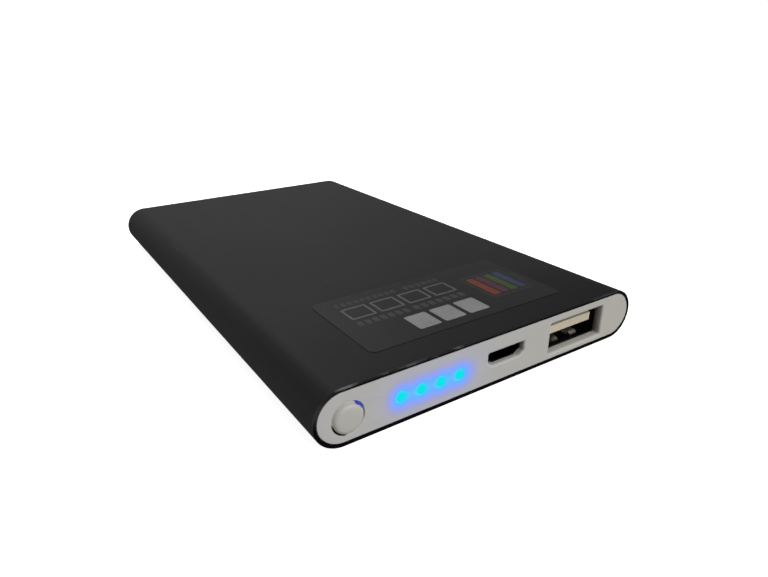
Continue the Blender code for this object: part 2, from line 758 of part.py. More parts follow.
def cell_guard():
    """The protection board that sits on the pouch's sealed edge, with the two cell tabs folded onto it."""
    guard_depth = (TERRACE_FRONT + 0.2, CELL_DEPTH[0] - 0.5)
    done(box("protection_board", across(0.0, 18.0), guard_depth, GUARD_Z), "board_green")
    top = GUARD_Z[1] + FIT
    chip("protection_controller", (-9.5, middle(guard_depth)), (2.9, 1.3, 1.0), top, 3, 0.95, 0.5)
    chip("protection_switch", (9.5, middle(guard_depth)), (3.0, 1.5, 1.0), top, 4, 0.65, 0.4)
    sheet = 0.15
    low, high = middle(TERRACE_Z), top + sheet / 2
    bend = TERRACE_FRONT - 0.5
    route = [(TERRACE_FRONT - FIT, low), (bend, low), (bend, high), (TERRACE_FRONT + 2.0, high)]
    for name, x, finish_name in (("positive_tab", TAB_X, "pouch_foil"), ("negative_tab", -TAB_X, "nickel")):
        done(strip(name, route, sheet, across(x, 2.0)), finish_name)


def cell_wires():
    on_guard = GUARD_Z[1] + FIT + WIRE_R
    on_board = ON_BOARD + WIRE_R
    for name, x, lead_to, finish_name in (
        ("positive_wire", 4.6, 5.4, "red_silicone"),
        ("negative_wire", -4.6, -3.0, "black_silicone"),
    ):
        route = [
            (x, 18.4, on_guard),
            (x, 17.4, on_guard),
            (x, 16.2, on_guard + 0.05),
            (middle((x, lead_to)), 15.1, middle((on_guard, on_board)) + 0.3),
            (lead_to, 13.9, on_board + 0.05),
            (lead_to, 12.4, on_board),
        ]
        done(wire(name, route, WIRE_R), finish_name)


def cell_packing():
    pad_depth = (26.0, 100.0)
    bed = box("cell_adhesive_tape", across(0.0, 20.0), pad_depth, (FLOOR_TOP + FIT, CELL_Z[0] - FIT))
    done(bed, "white_tape")
    foam = box("foam_pad", across(0.0, 25.0), pad_depth, (CELL_Z[1] + FIT, HEIGHT - SLEEVE_WALL - 0.1))
    done(foam, "grey_foam")
    lid_z = CELL_Z[1] + 0.1
    route = [(24.5, lid_z), (20.6, lid_z), (19.4, 7.3), (16.6, 7.3)]
    done(strip("insulating_tape", route, 0.08, across(0.0, 20.0)), "amber_tape")


clear_scene()
PARTS = collection("power_bank")
CUTTERS = collection("cutters")
BANK = bpy.data.objects.new("bank_origin", None)
PARTS.objects.link(BANK)

aluminium_sleeve()
front_panel()
rear_cap()
inner_tray()
top_label()
power_button()
switch()
charge_lights()
main_board()
for screw_side in SCREW_SPOTS:
    board_screw(screw_side)
board_components()
usb_socket_shell()
usb_socket_insides()
micro_socket_shell()
micro_socket_insides()
battery_cell()
cell_guard()
cell_wires()
cell_packing()
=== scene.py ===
"""Looks, camera and light for the slim power bank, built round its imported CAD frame.

Lengths in this file are in millimetres and become metres in the helpers. Only the room and its
lights are laid out in metres. X runs across the bank, Y from the port end to the plain end, Z up. A
depth is a distance behind the port end's rim.
"""

import json
import math

import bmesh
import bpy
from mathutils import Matrix, Vector


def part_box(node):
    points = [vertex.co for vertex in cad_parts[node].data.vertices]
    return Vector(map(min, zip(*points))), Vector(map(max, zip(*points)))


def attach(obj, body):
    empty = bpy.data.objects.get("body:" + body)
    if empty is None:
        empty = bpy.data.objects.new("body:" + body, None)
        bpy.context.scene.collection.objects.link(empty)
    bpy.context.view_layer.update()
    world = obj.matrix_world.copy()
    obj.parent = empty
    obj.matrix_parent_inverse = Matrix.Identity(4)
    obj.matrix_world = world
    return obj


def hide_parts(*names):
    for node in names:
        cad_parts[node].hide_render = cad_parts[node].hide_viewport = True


MM = 0.001

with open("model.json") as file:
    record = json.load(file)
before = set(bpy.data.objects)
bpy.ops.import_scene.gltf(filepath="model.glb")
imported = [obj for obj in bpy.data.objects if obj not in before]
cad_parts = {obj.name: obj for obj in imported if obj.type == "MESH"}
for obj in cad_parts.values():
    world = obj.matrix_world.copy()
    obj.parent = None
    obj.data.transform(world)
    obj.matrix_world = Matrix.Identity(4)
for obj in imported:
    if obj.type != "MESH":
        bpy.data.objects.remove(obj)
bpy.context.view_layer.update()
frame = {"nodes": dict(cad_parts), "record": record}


# ---------------------------------------------------------------- Places read from the frame


def node_box(name):
    low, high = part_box(name)
    return low / MM, high / MM


def node_middle(name):
    low, high = node_box(name)
    return (low + high) / 2


SLEEVE_LOW, SLEEVE_HIGH = node_box("aluminium_sleeve")
PANEL_LOW, PANEL_HIGH = node_box("front_panel")
CAP_LOW, CAP_HIGH = node_box("rear_cap")
LABEL_LOW, LABEL_HIGH = node_box("top_label")
BUTTON_LOW, BUTTON_HIGH = node_box("power_button")
GUIDE_LOW, GUIDE_HIGH = node_box("light_guide")

WIDTH = SLEEVE_HIGH.x - SLEEVE_LOW.x
LENGTH = SLEEVE_HIGH.y - SLEEVE_LOW.y
HEIGHT = SLEEVE_HIGH.z - SLEEVE_LOW.z
FRONT = SLEEVE_LOW.y
MID_Z = HEIGHT / 2
FIT = PANEL_LOW.y - FRONT
WALL = (WIDTH - (PANEL_HIGH.x - PANEL_LOW.x)) / 2 - FIT
PLATE = 1.6  # thickness of the panel's and the end cap's plates
CHAMFER = 0.10
BORE_CHAMFER = 0.12
CAP_EDGE = 0.12
PANEL_EDGE = 0.07
MOUTH_EDGE = 0.42
ARC_STEPS = 48

BUTTON_X = node_middle("power_button").x
BUTTON_Z = node_middle("power_button").z
BUTTON_R = 2.5
BUTTON_HOLE_R = 2.7
BUTTON_HOLE_EDGE = 0.06
LED_X = [node_middle(f"led_{i}").x for i in range(1, 5)]
LED_Z = node_middle("light_guide").z
LED_R = 0.95
LED_HOLE_R = 1.0
LED_HOLE_EDGE = 0.05
BEHIND_PLATE = FIT + PLATE + 0.1  # where the button's flange and the light guide's bar begin
USB_X = node_middle("usb_socket_shell").x
USB_Z = node_middle("usb_socket_shell").z
USB_MOUTH = (13.5, 5.75)
USB_FLOOR = USB_Z - 2.55  # the upper face of the shell's lower wall
MICRO_X = node_middle("micro_socket_shell").x
MICRO_Z = node_box("micro_socket_shell")[1].z - 2.25 / 2
MICRO_MOUTH = (7.85, 2.4)
MICRO_SLOPE = (0.95, 0.7)  # run and rise of the micro-USB mouth's sloping corners


# ---------------------------------------------------------------- Mesh helpers


def at_depth(depth):
    return FRONT + depth


def add_piece(name, bm, body, replaces=()):
    """Stores the mesh, modelled in millimetres, as a piece that rides on a body."""
    bmesh.ops.scale(bm, vec=(MM, MM, MM), verts=bm.verts)
    mesh = bpy.data.meshes.new(name)
    bm.to_mesh(mesh)
    bm.free()
    piece = bpy.data.objects.new(name, mesh)
    bpy.context.scene.collection.objects.link(piece)
    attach(piece, body)
    if replaces:
        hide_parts(*replaces)
    return piece


def shade(piece, angle=30.0):
    piece.data.shade_smooth()
    piece.data.set_sharp_from_angle(angle=math.radians(angle))
    return piece


def even_normals(piece):
    """Keeps the broad flat faces flat where they meet rounded edges."""
    step = piece.modifiers.new("Flat faces", "WEIGHTED_NORMAL")
    step.keep_sharp = True
    return piece


def round_edges(piece, width):
    step = piece.modifiers.new("Rounded edges", "BEVEL")
    step.width = width * MM
    step.segments = 2
    step.limit_method = "ANGLE"
    step.angle_limit = math.radians(30.0)
    step.harden_normals = True


def arc(centre, radius, start, end, steps):
    turn = (end - start) / steps
    angles = [math.radians(start + turn * i) for i in range(steps + 1)]
    return [(centre[0] + radius * math.cos(a), centre[1] + radius * math.sin(a)) for a in angles]


def stadium(width, height):
    """A slot shape round (0, MID_Z): two straight sides joined by half circles."""
    radius = height / 2
    reach = width / 2 - radius
    right = arc((reach, MID_Z), radius, -90, 90, ARC_STEPS)
    left = arc((-reach, MID_Z), radius, 90, 270, ARC_STEPS)
    return right + left


def circle(centre, radius, steps=64):
    return arc(centre, radius, 0, 360, steps)[:-1]


def rounded_polygon(corners, radii, steps=8):
    """An outline whose corners, given anticlockwise, are rounded to their radii."""
    line = []
    for i, corner in enumerate(corners):
        here = Vector(corner)
        back = (Vector(corners[i - 1]) - here).normalized()
        ahead = (Vector(corners[(i + 1) % len(corners)]) - here).normalized()
        half = back.angle(ahead) / 2
        start = here + back * radii[i] / math.tan(half)
        end = here + ahead * radii[i] / math.tan(half)
        centre = here + (back + ahead).normalized() * radii[i] / math.sin(half)
        spoke, last = start - centre, end - centre
        swing = math.atan2(spoke.x * last.y - spoke.y * last.x, spoke.dot(last))
        for k in range(steps + 1):
            turned_spoke = Matrix.Rotation(swing * k / steps, 2) @ spoke
            line.append(tuple(centre + turned_spoke))
    return line


def rectangle(half_x, half_y, radius, centre, steps=8):
    x, y = centre
    corners = [
        (x - half_x, y - half_y),
        (x + half_x, y - half_y),
        (x + half_x, y + half_y),
        (x - half_x, y + half_y),
    ]
    return rounded_polygon(corners, [radius] * 4, steps)


def skin(bm, rings, closed=False):
    """Joins rings of equally many points with quads."""
    pairs = list(zip(rings, rings[1:]))
    if closed:
        pairs.append((rings[-1], rings[0]))
    for lower, upper in pairs:
        for i in range(len(lower)):
            j = (i + 1) % len(lower)
            bm.faces.new((lower[i], lower[j], upper[j], upper[i]))


def plate(name, loops, plane, span, edge, body, replaces=(), resolution=3):
    """A plate with rounded edges, cut out by loops. In "XZ" it spans depths, in "XY" heights."""
    curve = bpy.data.curves.new(name, "CURVE")
    curve.dimensions = "2D"
    curve.fill_mode = "BOTH"
    curve.extrude = (span[1] - span[0]) / 2 - edge
    curve.bevel_depth = edge
    curve.bevel_resolution = resolution
    curve.offset = -edge
    for loop in loops:
        spline = curve.splines.new("POLY")
        spline.points.add(len(loop) - 1)
        spline.use_cyclic_u = True
        for point, (u, v) in zip(spline.points, loop):
            point.co = (u, v, 0.0, 1.0)
    guide = bpy.data.objects.new(name + "_outline", curve)
    bpy.context.scene.collection.objects.link(guide)
    bpy.context.view_layer.update()
    graph = bpy.context.evaluated_depsgraph_get()
    flat = bpy.data.meshes.new_from_object(guide.evaluated_get(graph))
    bpy.data.objects.remove(guide)
    bpy.data.curves.remove(curve)
    bm = bmesh.new()
    bm.from_mesh(flat)
    bpy.data.meshes.remove(flat)
    bmesh.ops.remove_doubles(bm, verts=bm.verts, dist=1e-4)
    middle = (span[0] + span[1]) / 2
    if plane == "XZ":
        turn = Matrix(((1, 0, 0, 0), (0, 0, -1, at_depth(middle)), (0, 1, 0, 0), (0, 0, 0, 1)))
    else:
        turn = Matrix.Translation((0.0, 0.0, middle))
    bmesh.ops.transform(bm, matrix=turn, verts=bm.verts)
    bmesh.ops.recalc_face_normals(bm, faces=bm.faces)
    return even_normals(shade(add_piece(name, bm, body, replaces)))


def shifted(loop, reach):
    """The anticlockwise outline moved outwards by reach."""
    moved = []
    for i, point in enumerate(loop):
        here = Vector(point)
        before = (here - Vector(loop[i - 1])).normalized()
        after = (Vector(loop[(i + 1) % len(loop)]) - here).normalized()
        along = (before + after).normalized()
        moved.append((here.x + along.y * reach, here.y - along.x * reach))
    return moved


def pierced_plate(name, outline, holes, span, body, replaces):
    """An upright plate. Its outline and its holes, each a (loop, edge), are rounded at the front."""
    steps = 5
    bm = bmesh.new()
    front, back = [], []
    for loop, edge, way in [(*outline, -1.0), *[(*hole, 1.0) for hole in holes]]:
        rings = []
        for k in range(steps + 1):
            angle = math.pi / 2 * k / steps
            line = shifted(loop, way * edge * (1.0 - math.sin(angle)))
            y = at_depth(span[0] + edge * (1.0 - math.cos(angle)))
            rings.append([bm.verts.new((x, y, z)) for x, z in line])
        rings.append([bm.verts.new((x, at_depth(span[1]), z)) for x, z in loop])
        skin(bm, rings)
        for ring, edges in ((rings[0], front), (rings[-1], back)):
            edges.extend(bm.edges.get((ring[i - 1], ring[i])) for i in range(len(ring)))
    bmesh.ops.triangle_fill(bm, use_beauty=True, edges=front)
    bmesh.ops.triangle_fill(bm, use_beauty=True, edges=back)
    bmesh.ops.recalc_face_normals(bm, faces=bm.faces)
    return even_normals(shade(add_piece(name, bm, body, replaces), 40.0))


def turned(name, profile, centre, body, replaces=(), steps=96):
    """A closed (radius, depth) profile turned about an axis along Y through centre (x, z)."""
    bm = bmesh.new()
    rings = []
    for radius, depth in profile:
        loop = circle(centre, radius, steps)
        rings.append([bm.verts.new((x, at_depth(depth), z)) for x, z in loop])
    skin(bm, rings)
    bm.faces.new(rings[0])
    bm.faces.new(rings[-1])
    bmesh.ops.recalc_face_normals(bm, faces=bm.faces)
    return shade(add_piece(name, bm, body, replaces))


# ---------------------------------------------------------------- Material helpers


def tone(colour, gain=1.0):
    return (*[min(channel * gain, 1.0) for channel in colour], 1.0)


def grey(value):
    return tone((value, value, value))


def ramp_of(ramp, colours):
    stops = ramp.color_ramp.elements
    while len(stops) < len(colours):
        stops.new(0.5)
    for stop, (place, colour) in zip(stops, colours):
        stop.position = place
        stop.color = tone(colour)


class Paint:
    """A node material with a Principled shader and object coordinates."""

    def __init__(self, name):
        self.material = bpy.data.materials.new(name)
        self.material.use_nodes = True
        self.tree = self.material.node_tree
        self.shader = self.tree.nodes["Principled BSDF"]
        self.coords = self.tree.nodes.new("ShaderNodeTexCoord").outputs["Object"]

    def put(self, kind, values=(), **settings):
        """A node of this kind. values maps an input to a number, or to a socket to link."""
        made = self.tree.nodes.new("ShaderNode" + kind)
        for key, value in settings.items():
            setattr(made, key, value)
        for key, value in dict(values).items():
            self.feed(made.inputs[key], value)
        return made

    def feed(self, socket, value):
        if isinstance(value, bpy.types.NodeSocket):
            self.tree.links.new(value, socket)
        else:
            socket.default_value = value

    def set(self, **values):
        """Sets the shader's inputs: base_color is "Base Color", and so on."""
        for key, value in values.items():
            name = key.replace("_", " ").title().replace("Ior", "IOR")
            self.feed(self.shader.inputs[name], value)

    def place(self):
        """The point's x, depth and z, in millimetres."""
        origin = {0: self.coords, 1: (0.0, FRONT * MM, 0.0)}
        behind = self.put("VectorMath", origin, operation="SUBTRACT").outputs[0]
        scaled = self.put("VectorMath", {0: behind, "Scale": 1.0 / MM}, operation="SCALE")
        return self.put("SeparateXYZ", {"Vector": scaled.outputs[0]}).outputs

    def math(self, operation, a, b=0.0, c=0.0):
        return self.put("Math", {0: a, 1: b, 2: c}, operation=operation).outputs[0]

    def minus(self, a, b):
        return self.math("SUBTRACT", a, b)

    def times(self, first, *others):
        for other in others:
            first = self.math("MULTIPLY", first, other)
        return first

    def squares(self, a, b):
        return self.math("ADD", self.math("POWER", a, 2.0), self.math("POWER", b, 2.0))

    def distance(self, a, b):
        return self.math("SQRT", self.squares(a, b))

    def range(self, value, low, high, to_low=0.0, to_high=1.0, smooth=False):
        """Maps low..high to to_low..to_high, and stays level beyond."""
        values = {"Value": value, "From Min": low, "From Max": high, "To Min": to_low, "To Max": to_high}
        kind = "SMOOTHSTEP" if smooth else "LINEAR"
        return self.put("MapRange", values, interpolation_type=kind).outputs["Result"]

    def noise(self, size, detail=3.0, roughness=0.5, stretch=(1.0, 1.0, 1.0)):
        """Noise whose blobs are about this many millimetres across."""
        spread = self.put("Mapping", {"Vector": self.coords, "Scale": stretch}).outputs[0]
        values = {"Vector": spread, "Scale": 1.0 / (size * MM), "Detail": detail, "Roughness": roughness}
        return self.put("TexNoise", values).outputs["Fac"]

    def vary(self, noise, low, high):
        """Spreads the middle of a noise, where most of it lies, over low..high."""
        return self.range(noise, 0.3, 0.7, low, high)

    def mix(self, factor, a, b):
        made = self.put("Mix", data_type="RGBA")
        self.feed(made.inputs["Factor"], factor)
        self.feed(made.inputs[6], a)
        self.feed(made.inputs[7], b)
        return made.outputs[2]

    def bump(self, height, distance, strength=1.0, normal=None):
        values = {"Height": height, "Distance": distance * MM, "Strength": strength}
        if normal is not None:
            values["Normal"] = normal
        return self.put("Bump", values).outputs["Normal"]


# ---------------------------------------------------------------- The sleeve


def anodised():
    """Black anodised aluminium: a fine blasted grain, faint drawing marks, painted shade on the rims,
    pale scuffs on the top edge that are part wear and part painted highlight, and painted shade and
    light along the sleeve.
    """
    paint = Paint("anodised_black_aluminium")
    cloudy = paint.noise(16.0, 3.0, 0.55)
    body = paint.mix(cloudy, tone((0.0198, 0.0196, 0.0200)), tone((0.0228, 0.0224, 0.0224)))
    specks = paint.range(paint.noise(0.8, 1.0, 0.4), 0.80, 0.81)
    body = paint.mix(specks, body, grey(0.06))
    body = painted_sleeve_shade_and_light(paint, body)
    body, cut = rims(paint, body)

    fine = paint.noise(0.09, 4.0, 0.6)
    drawn = paint.noise(0.45, 3.0, 0.5, (1.0, 0.02, 1.0))
    gloss = paint.math("ADD", paint.vary(fine, 0.42, 0.52), paint.vary(drawn, -0.01, 0.01))
    grain = paint.bump(drawn, 0.0004, 0.2, paint.bump(fine, 0.004, 0.4))
    # No sheen on the rims' painted shade.
    shine = paint.range(cut, 0.0, 1.0, 0.05, 0.0)
    paint.set(base_color=body, roughness=gloss, specular_ior_level=shine, normal=grain)
    return paint.material


def painted_sleeve_shade_and_light(paint, body):
    """Painted shade and light along the sleeve: painted shade towards the port end, more on the right,
    and on the top towards the left; painted light low on its sides.
    """
    x, depth, z = paint.place()
    # Painted shade towards the port end, more on the right.
    port_end_shade = paint.times(paint.range(depth, 24.0, 2.0), paint.range(x, -14.0, 27.0, 0.15, 0.75))
    body = paint.mix(port_end_shade, body, tone((0.0086, 0.0075, 0.0092)))
    # Painted shade on the top towards the left and the port end.
    left = paint.times(paint.range(x, -4.0, -24.0, 0.0, 0.42), paint.range(depth, 75.0, 12.0))
    top = paint.range(z, HEIGHT - 0.9, HEIGHT - 0.2)
    body = paint.mix(paint.times(left, top), body, tone((0.0086, 0.0085, 0.0086)))
    # Painted light low on the sides, towards the port end.
    low = paint.times(paint.range(z, 8.0, 5.0, 0.0, 0.5), paint.range(depth, 85.0, 15.0))
    return paint.mix(low, body, grey(0.034))


def rims(paint, body):
    """Painted shade on the rims: black on the front face of each end's rim and along the lower chamfer;
    pale scuffs on the top edge, part wear and part painted highlight. Gives the colour and the shade
    mask.
    """
    x, depth, z = paint.place()
    in_from_rim = paint.math("MINIMUM", depth, paint.minus(LENGTH, depth))
    below_top = paint.range(z, HEIGHT - 0.20, HEIGHT - 0.28)
    upper_left = paint.times(paint.range(x, -28.5, -30.5), paint.range(z, 4.6, 6.4, 0.0, 0.85))
    # Painted shade: black on the front face of each end's rim, less black on the left arc higher up.
    cut = paint.times(paint.range(in_from_rim, 0.05, 0.02), below_top, paint.minus(1.0, upper_left))
    # Painted shade along the lower chamfer, up to 0.6 mm back from each rim.
    shade_under = paint.times(paint.range(in_from_rim, 0.60, 0.40), paint.range(z, 4.6, 2.6))
    cut = paint.math("MAXIMUM", cut, shade_under)

    edge = paint.minus(paint.range(in_from_rim, 0.34, 0.18, smooth=True), cut)
    edge = paint.math("MAXIMUM", edge, 0.0)
    by_the_corner = paint.range(x, -25.5, -27.5, 0.0, 0.12)
    marks = paint.math("ADD", paint.noise(2.6, 4.0, 0.6, (0.4, 1.0, 1.0)), by_the_corner)
    less_on_right = paint.range(x, -6.0, 12.0, 1.0, 0.25)
    less_on_arc = paint.range(x, -31.0, -30.0, 0.15, 1.0)
    # Pale scuffs on the top edge: part wear, part painted highlight.
    wear_and_highlight = paint.times(edge, paint.range(marks, 0.52, 0.66), less_on_right, less_on_arc)
    body = paint.mix(wear_and_highlight, body, tone((0.140, 0.139, 0.140)))
    return paint.mix(cut, body, grey(0.004)), cut


def sleeve_piece():
    """The tube, with a chamfer round the outside of each end and another round the bore."""
    section = [
        (0.0, CHAMFER),
        (CHAMFER, 0.0),
        (WALL - BORE_CHAMFER, 0.0),
        (WALL, BORE_CHAMFER),
        (WALL, LENGTH - BORE_CHAMFER),
        (WALL - BORE_CHAMFER, LENGTH),
        (CHAMFER, LENGTH),
        (0.0, LENGTH - CHAMFER),
    ]
    bm = bmesh.new()
    rings = []
    for inset, depth in section:
        outline = stadium(WIDTH - 2 * inset, HEIGHT - 2 * inset)
        rings.append([bm.verts.new((x, at_depth(depth), z)) for x, z in outline])
    skin(bm, rings, closed=True)
    bmesh.ops.recalc_face_normals(bm, faces=bm.faces)
    piece = add_piece("sleeve", bm, "casing", ["aluminium_sleeve"])
    round_edges(shade(piece), 0.05)
    piece.data.materials.append(anodised())


# ---------------------------------------------------------------- The panel and the end cap


def white_plastic(name):
    """White moulded plastic, warmer towards the sockets. Gives the paint and its colour."""
    paint = Paint(name)
    fine = paint.noise(0.12, 4.0, 0.6)
    slow = paint.noise(9.0, 2.0)
    cool = paint.mix(slow, tone((0.524, 0.515, 0.500)), tone((0.560, 0.550, 0.534)))
    warm = paint.mix(slow, tone((0.505, 0.490, 0.440)), tone((0.540, 0.525, 0.470)))
    body = paint.mix(paint.range(paint.place()[0], -10.0, 30.0), cool, warm)
    paint.set(base_color=body, roughness=paint.vary(fine, 0.42, 0.54))
    paint.set(normal=paint.bump(fine, 0.005, 0.5), specular_ior_level=0.35)
    return paint, body


def panel_plastic():
    """The panel's plastic, with a painted glow from the charge lights through it and round the button,
    painted shade and light in the sockets' mouths and painted shade along its lower edge.
    """
    paint, body = white_plastic("white_panel")
    light = halo(paint)
    glow = paint.put("ValToRGB", {"Fac": light})
    colours = (
        (0.00, (0.0, 0.0, 0.0)),
        (0.06, (0.000, 0.006, 0.080)),
        (0.15, (0.000, 0.020, 0.280)),
        (0.32, (0.000, 0.100, 0.700)),
        (0.60, (0.010, 0.310, 0.940)),
        (1.00, (0.030, 0.480, 1.000)),
    )
    ramp_of(glow, colours)
    # Where the painted glow is strong, the base is darker and bluer.
    body = paint.mix(paint.range(light, 0.05, 0.60, 0.0, 0.80), body, tone((0.06, 0.10, 0.16)))
    body = mouth_shade_and_light(paint, body)
    body = seam_shade(paint, body)
    away = away_from_button(paint)[0]
    inside = paint.range(away, BUTTON_HOLE_R + 0.05, BUTTON_HOLE_R + 0.02)
    edge = paint.range(away, BUTTON_HOLE_R + 0.11, BUTTON_HOLE_R + 0.08)
    body, shine = gap_light(paint, inside, edge, body, glow.outputs["Color"])
    paint.set(base_color=body, emission_color=shine, emission_strength=1.0)
    return paint.material


def halo(paint):
    """How strongly the charge lights shine through: a core round each, and a skirt round the row."""
    x, _, z = paint.place()
    up = paint.minus(z, LED_Z)

    def bell(across, reach, share, total):
        power = paint.math("DIVIDE", paint.squares(across, up), -(reach**2))
        return paint.math("MULTIPLY_ADD", paint.math("EXPONENT", power), share, total)

    total = 0.0
    for led_x in LED_X:
        total = bell(paint.minus(x, led_x), 1.55, 0.60, total)
    before = paint.minus(LED_X[0], x)
    after = paint.times(paint.minus(x, LED_X[-1]), 0.75)
    beyond = paint.math("MAXIMUM", paint.math("MAXIMUM", before, after), 0.0)
    total = bell(beyond, 1.9, 0.29, total)
    return bell(beyond, 3.7, 0.090, total)


def mouth_shade_and_light(paint, body):
    """Painted shade on the upright faces and painted light on the upward faces inside the sockets'
    mouths.
    """
    x, depth, z = paint.place()
    sill = USB_Z - USB_MOUTH[1] / 2
    usb_side = paint.times(paint.math("GREATER_THAN", x, 4.5), paint.range(x, 5.0, 9.0, 0.6, 1.0))
    above_sill = paint.range(z, sill + 0.02, sill + 0.3)
    # Painted shade on the upright faces deep in the mouths.
    painted_wall_shade = paint.times(above_sill, usb_side, paint.range(depth, 0.25, 1.6, smooth=True))
    body = paint.mix(painted_wall_shade, body, tone((0.150, 0.145, 0.130)))
    normal = paint.tree.nodes.new("ShaderNodeTexCoord").outputs["Normal"]
    facing_up = paint.put("SeparateXYZ", {"Vector": normal}).outputs["Z"]
    # Painted light on the upward faces inside the mouths.
    painted_sill_light = paint.times(paint.range(facing_up, 0.3, 0.7), paint.range(depth, 0.2, 0.4))
    return paint.mix(painted_sill_light, body, tone((0.66, 0.64, 0.59)))


def seam_shade(paint, body):
    """Painted shade in the gap between the panel's lower edge and the sleeve, on the panel's face."""
    x, _, z = paint.place()
    past_straight = paint.minus(paint.math("ABSOLUTE", x), (WIDTH - HEIGHT) / 2)
    out = paint.distance(paint.math("MAXIMUM", past_straight, 0.0), paint.minus(z, MID_Z))
    rim = HEIGHT / 2 - WALL
    # Painted shade along the panel's lower edge, by the sleeve.
    gap = paint.times(paint.range(out, rim - 0.20, rim - 0.15), paint.range(z, 3.6, 2.0))
    return paint.mix(gap, body, grey(0.012))


def away_from_button(paint):
    """The distance and the angle from the button's middle."""
    x, _, z = paint.place()
    across = paint.minus(x, BUTTON_X)
    up = paint.minus(z, BUTTON_Z)
    return paint.distance(across, up), paint.math("ARCTAN2", up, across)


def gap_light(paint, inside, edge, body, glow):
    """Painted light and shade in the gap round the button: a painted blue glow on its edge towards the
    charge lights, painted grey shade below that, painted dark shade on the far side, and elsewhere a
    painted glow of the pale plastic from within."""
    angle = away_from_button(paint)[1]

    def sector(middle, half, soft):
        off = paint.math("ABSOLUTE", paint.minus(angle, math.radians(middle)))
        return paint.range(off, math.radians(half + soft), math.radians(half), smooth=True)

    # Painted blue glow on the edge towards the charge lights.
    blue = paint.times(edge, sector(42.0, 16.0, 9.0))
    # Painted grey shade.
    grey_shade = paint.times(inside, sector(12.0, 22.0, 18.0), 0.5)
    # Painted dark shade on the far side.
    dark = paint.times(inside, sector(-132.0, 26.0, 16.0))
    body = paint.mix(grey_shade, body, grey(0.03))
    body = paint.mix(blue, body, tone((0.01, 0.02, 0.08)))
    body = paint.mix(dark, body, grey(0.01))
    # Painted glow of the pale plastic from within.
    shine = paint.mix(inside, glow, tone((0.12, 0.116, 0.11)))
    shine = paint.mix(grey_shade, shine, grey(0.02))
    shine = paint.mix(blue, shine, tone((0.010, 0.034, 0.34)))
    shine = paint.mix(dark, shine, grey(0.0))
    return body, shine


def micro_mouth():
    """The micro-USB mouth: flat on top, with its two lower corners sloping inwards."""
    half_x, half_z = MICRO_MOUTH[0] / 2, MICRO_MOUTH[1] / 2
    run, rise = MICRO_SLOPE
    corners = [
        (MICRO_X - half_x, MICRO_Z + half_z),
        (MICRO_X - half_x, MICRO_Z - half_z + rise),
        (MICRO_X - half_x + run, MICRO_Z - half_z),
        (MICRO_X + half_x - run, MICRO_Z - half_z),
        (MICRO_X + half_x, MICRO_Z - half_z + rise),
        (MICRO_X + half_x, MICRO_Z + half_z),
    ]
    sharp, soft = 0.2, 0.6
    return rounded_polygon(corners, [sharp, soft, soft, soft, soft, sharp])


def panel_piece():
    outline = stadium(PANEL_HIGH.x - PANEL_LOW.x, PANEL_HIGH.z - PANEL_LOW.z)
    usb_mouth = rectangle(USB_MOUTH[0] / 2, USB_MOUTH[1] / 2, 0.3, (USB_X, USB_Z))
    holes = [
        (circle((BUTTON_X, BUTTON_Z), BUTTON_HOLE_R, 96), BUTTON_HOLE_EDGE),
        *[(circle((x, LED_Z), LED_HOLE_R), LED_HOLE_EDGE) for x in LED_X],
        (micro_mouth(), MOUTH_EDGE),
        (usb_mouth, MOUTH_EDGE),
    ]
    front = (outline, PANEL_EDGE)
    span = (FIT, FIT + PLATE)
    panel = pierced_plate("port_panel", front, holes, span, "casing", ["front_panel"])
    panel.data.materials.append(panel_plastic())


def cap_piece():
    outline = stadium(CAP_HIGH.x - CAP_LOW.x, CAP_HIGH.z - CAP_LOW.z)
    span = (LENGTH - FIT - PLATE, LENGTH - FIT)
    cap = plate("end_cap", [outline], "XZ", span, CAP_EDGE, "casing", ["rear_cap"])
    cap.data.materials.append(white_plastic("white_cap")[0].material)


# ---------------------------------------------------------------- The button and the charge lights


def button_plastic():
    paint = Paint("white_button")
    fine = paint.noise(0.12, 4.0, 0.6)
    slow = paint.noise(3.0, 2.0)
    body = paint.mix(slow, tone((0.52, 0.505, 0.465)), tone((0.55, 0.535, 0.495)))
    depth = paint.place()[1]
    inside = paint.range(depth, -0.05, 0.15)
    edge = paint.range(depth, -0.26, -0.16)
    # Painted glow and painted shade on the button's side, in the gap round it.
    body, glow = gap_light(paint, inside, edge, body, grey(0.0))
    paint.set(base_color=body, roughness=paint.vary(fine, 0.38, 0.48), specular_ior_level=0.4)
    paint.set(normal=paint.bump(fine, 0.005, 0.5), emission_color=glow, emission_strength=1.0)
    return paint.material


def button_piece():
    """The cap's slightly crowned face and large rounded edge, then its flange and stem."""
    front = BUTTON_LOW.y - FRONT
    back = BUTTON_HIGH.y - FRONT
    axis_r = 0.02
    flange_r = (BUTTON_HIGH.x - BUTTON_LOW.x) / 2
    flange_back = BEHIND_PLATE + 0.6
    stem_r = 0.65
    edge_r = 0.85
    crown_drop = 0.10
    face_radii = [0.25 + 0.3 * i for i in range(5)]
    crown = [(r, front + crown_drop * r**2 / BUTTON_R**2) for r in face_radii]
    rounding = arc((BUTTON_R - edge_r, 0.0), edge_r, 84, 0, 12)
    edge = [(r, front + 0.07 + edge_r - h) for r, h in rounding]
    profile = [
        (axis_r, front),
        *crown,
        *edge,
        (BUTTON_R, BEHIND_PLATE),
        (flange_r, BEHIND_PLATE),
        (flange_r, flange_back),
        (stem_r, flange_back),
        (stem_r, back),
        (axis_r, back),
    ]
    centre = (BUTTON_X, BUTTON_Z)
    button = turned("push_button", profile, centre, "button", ["power_button"])
    button.data.materials.append(button_plastic())


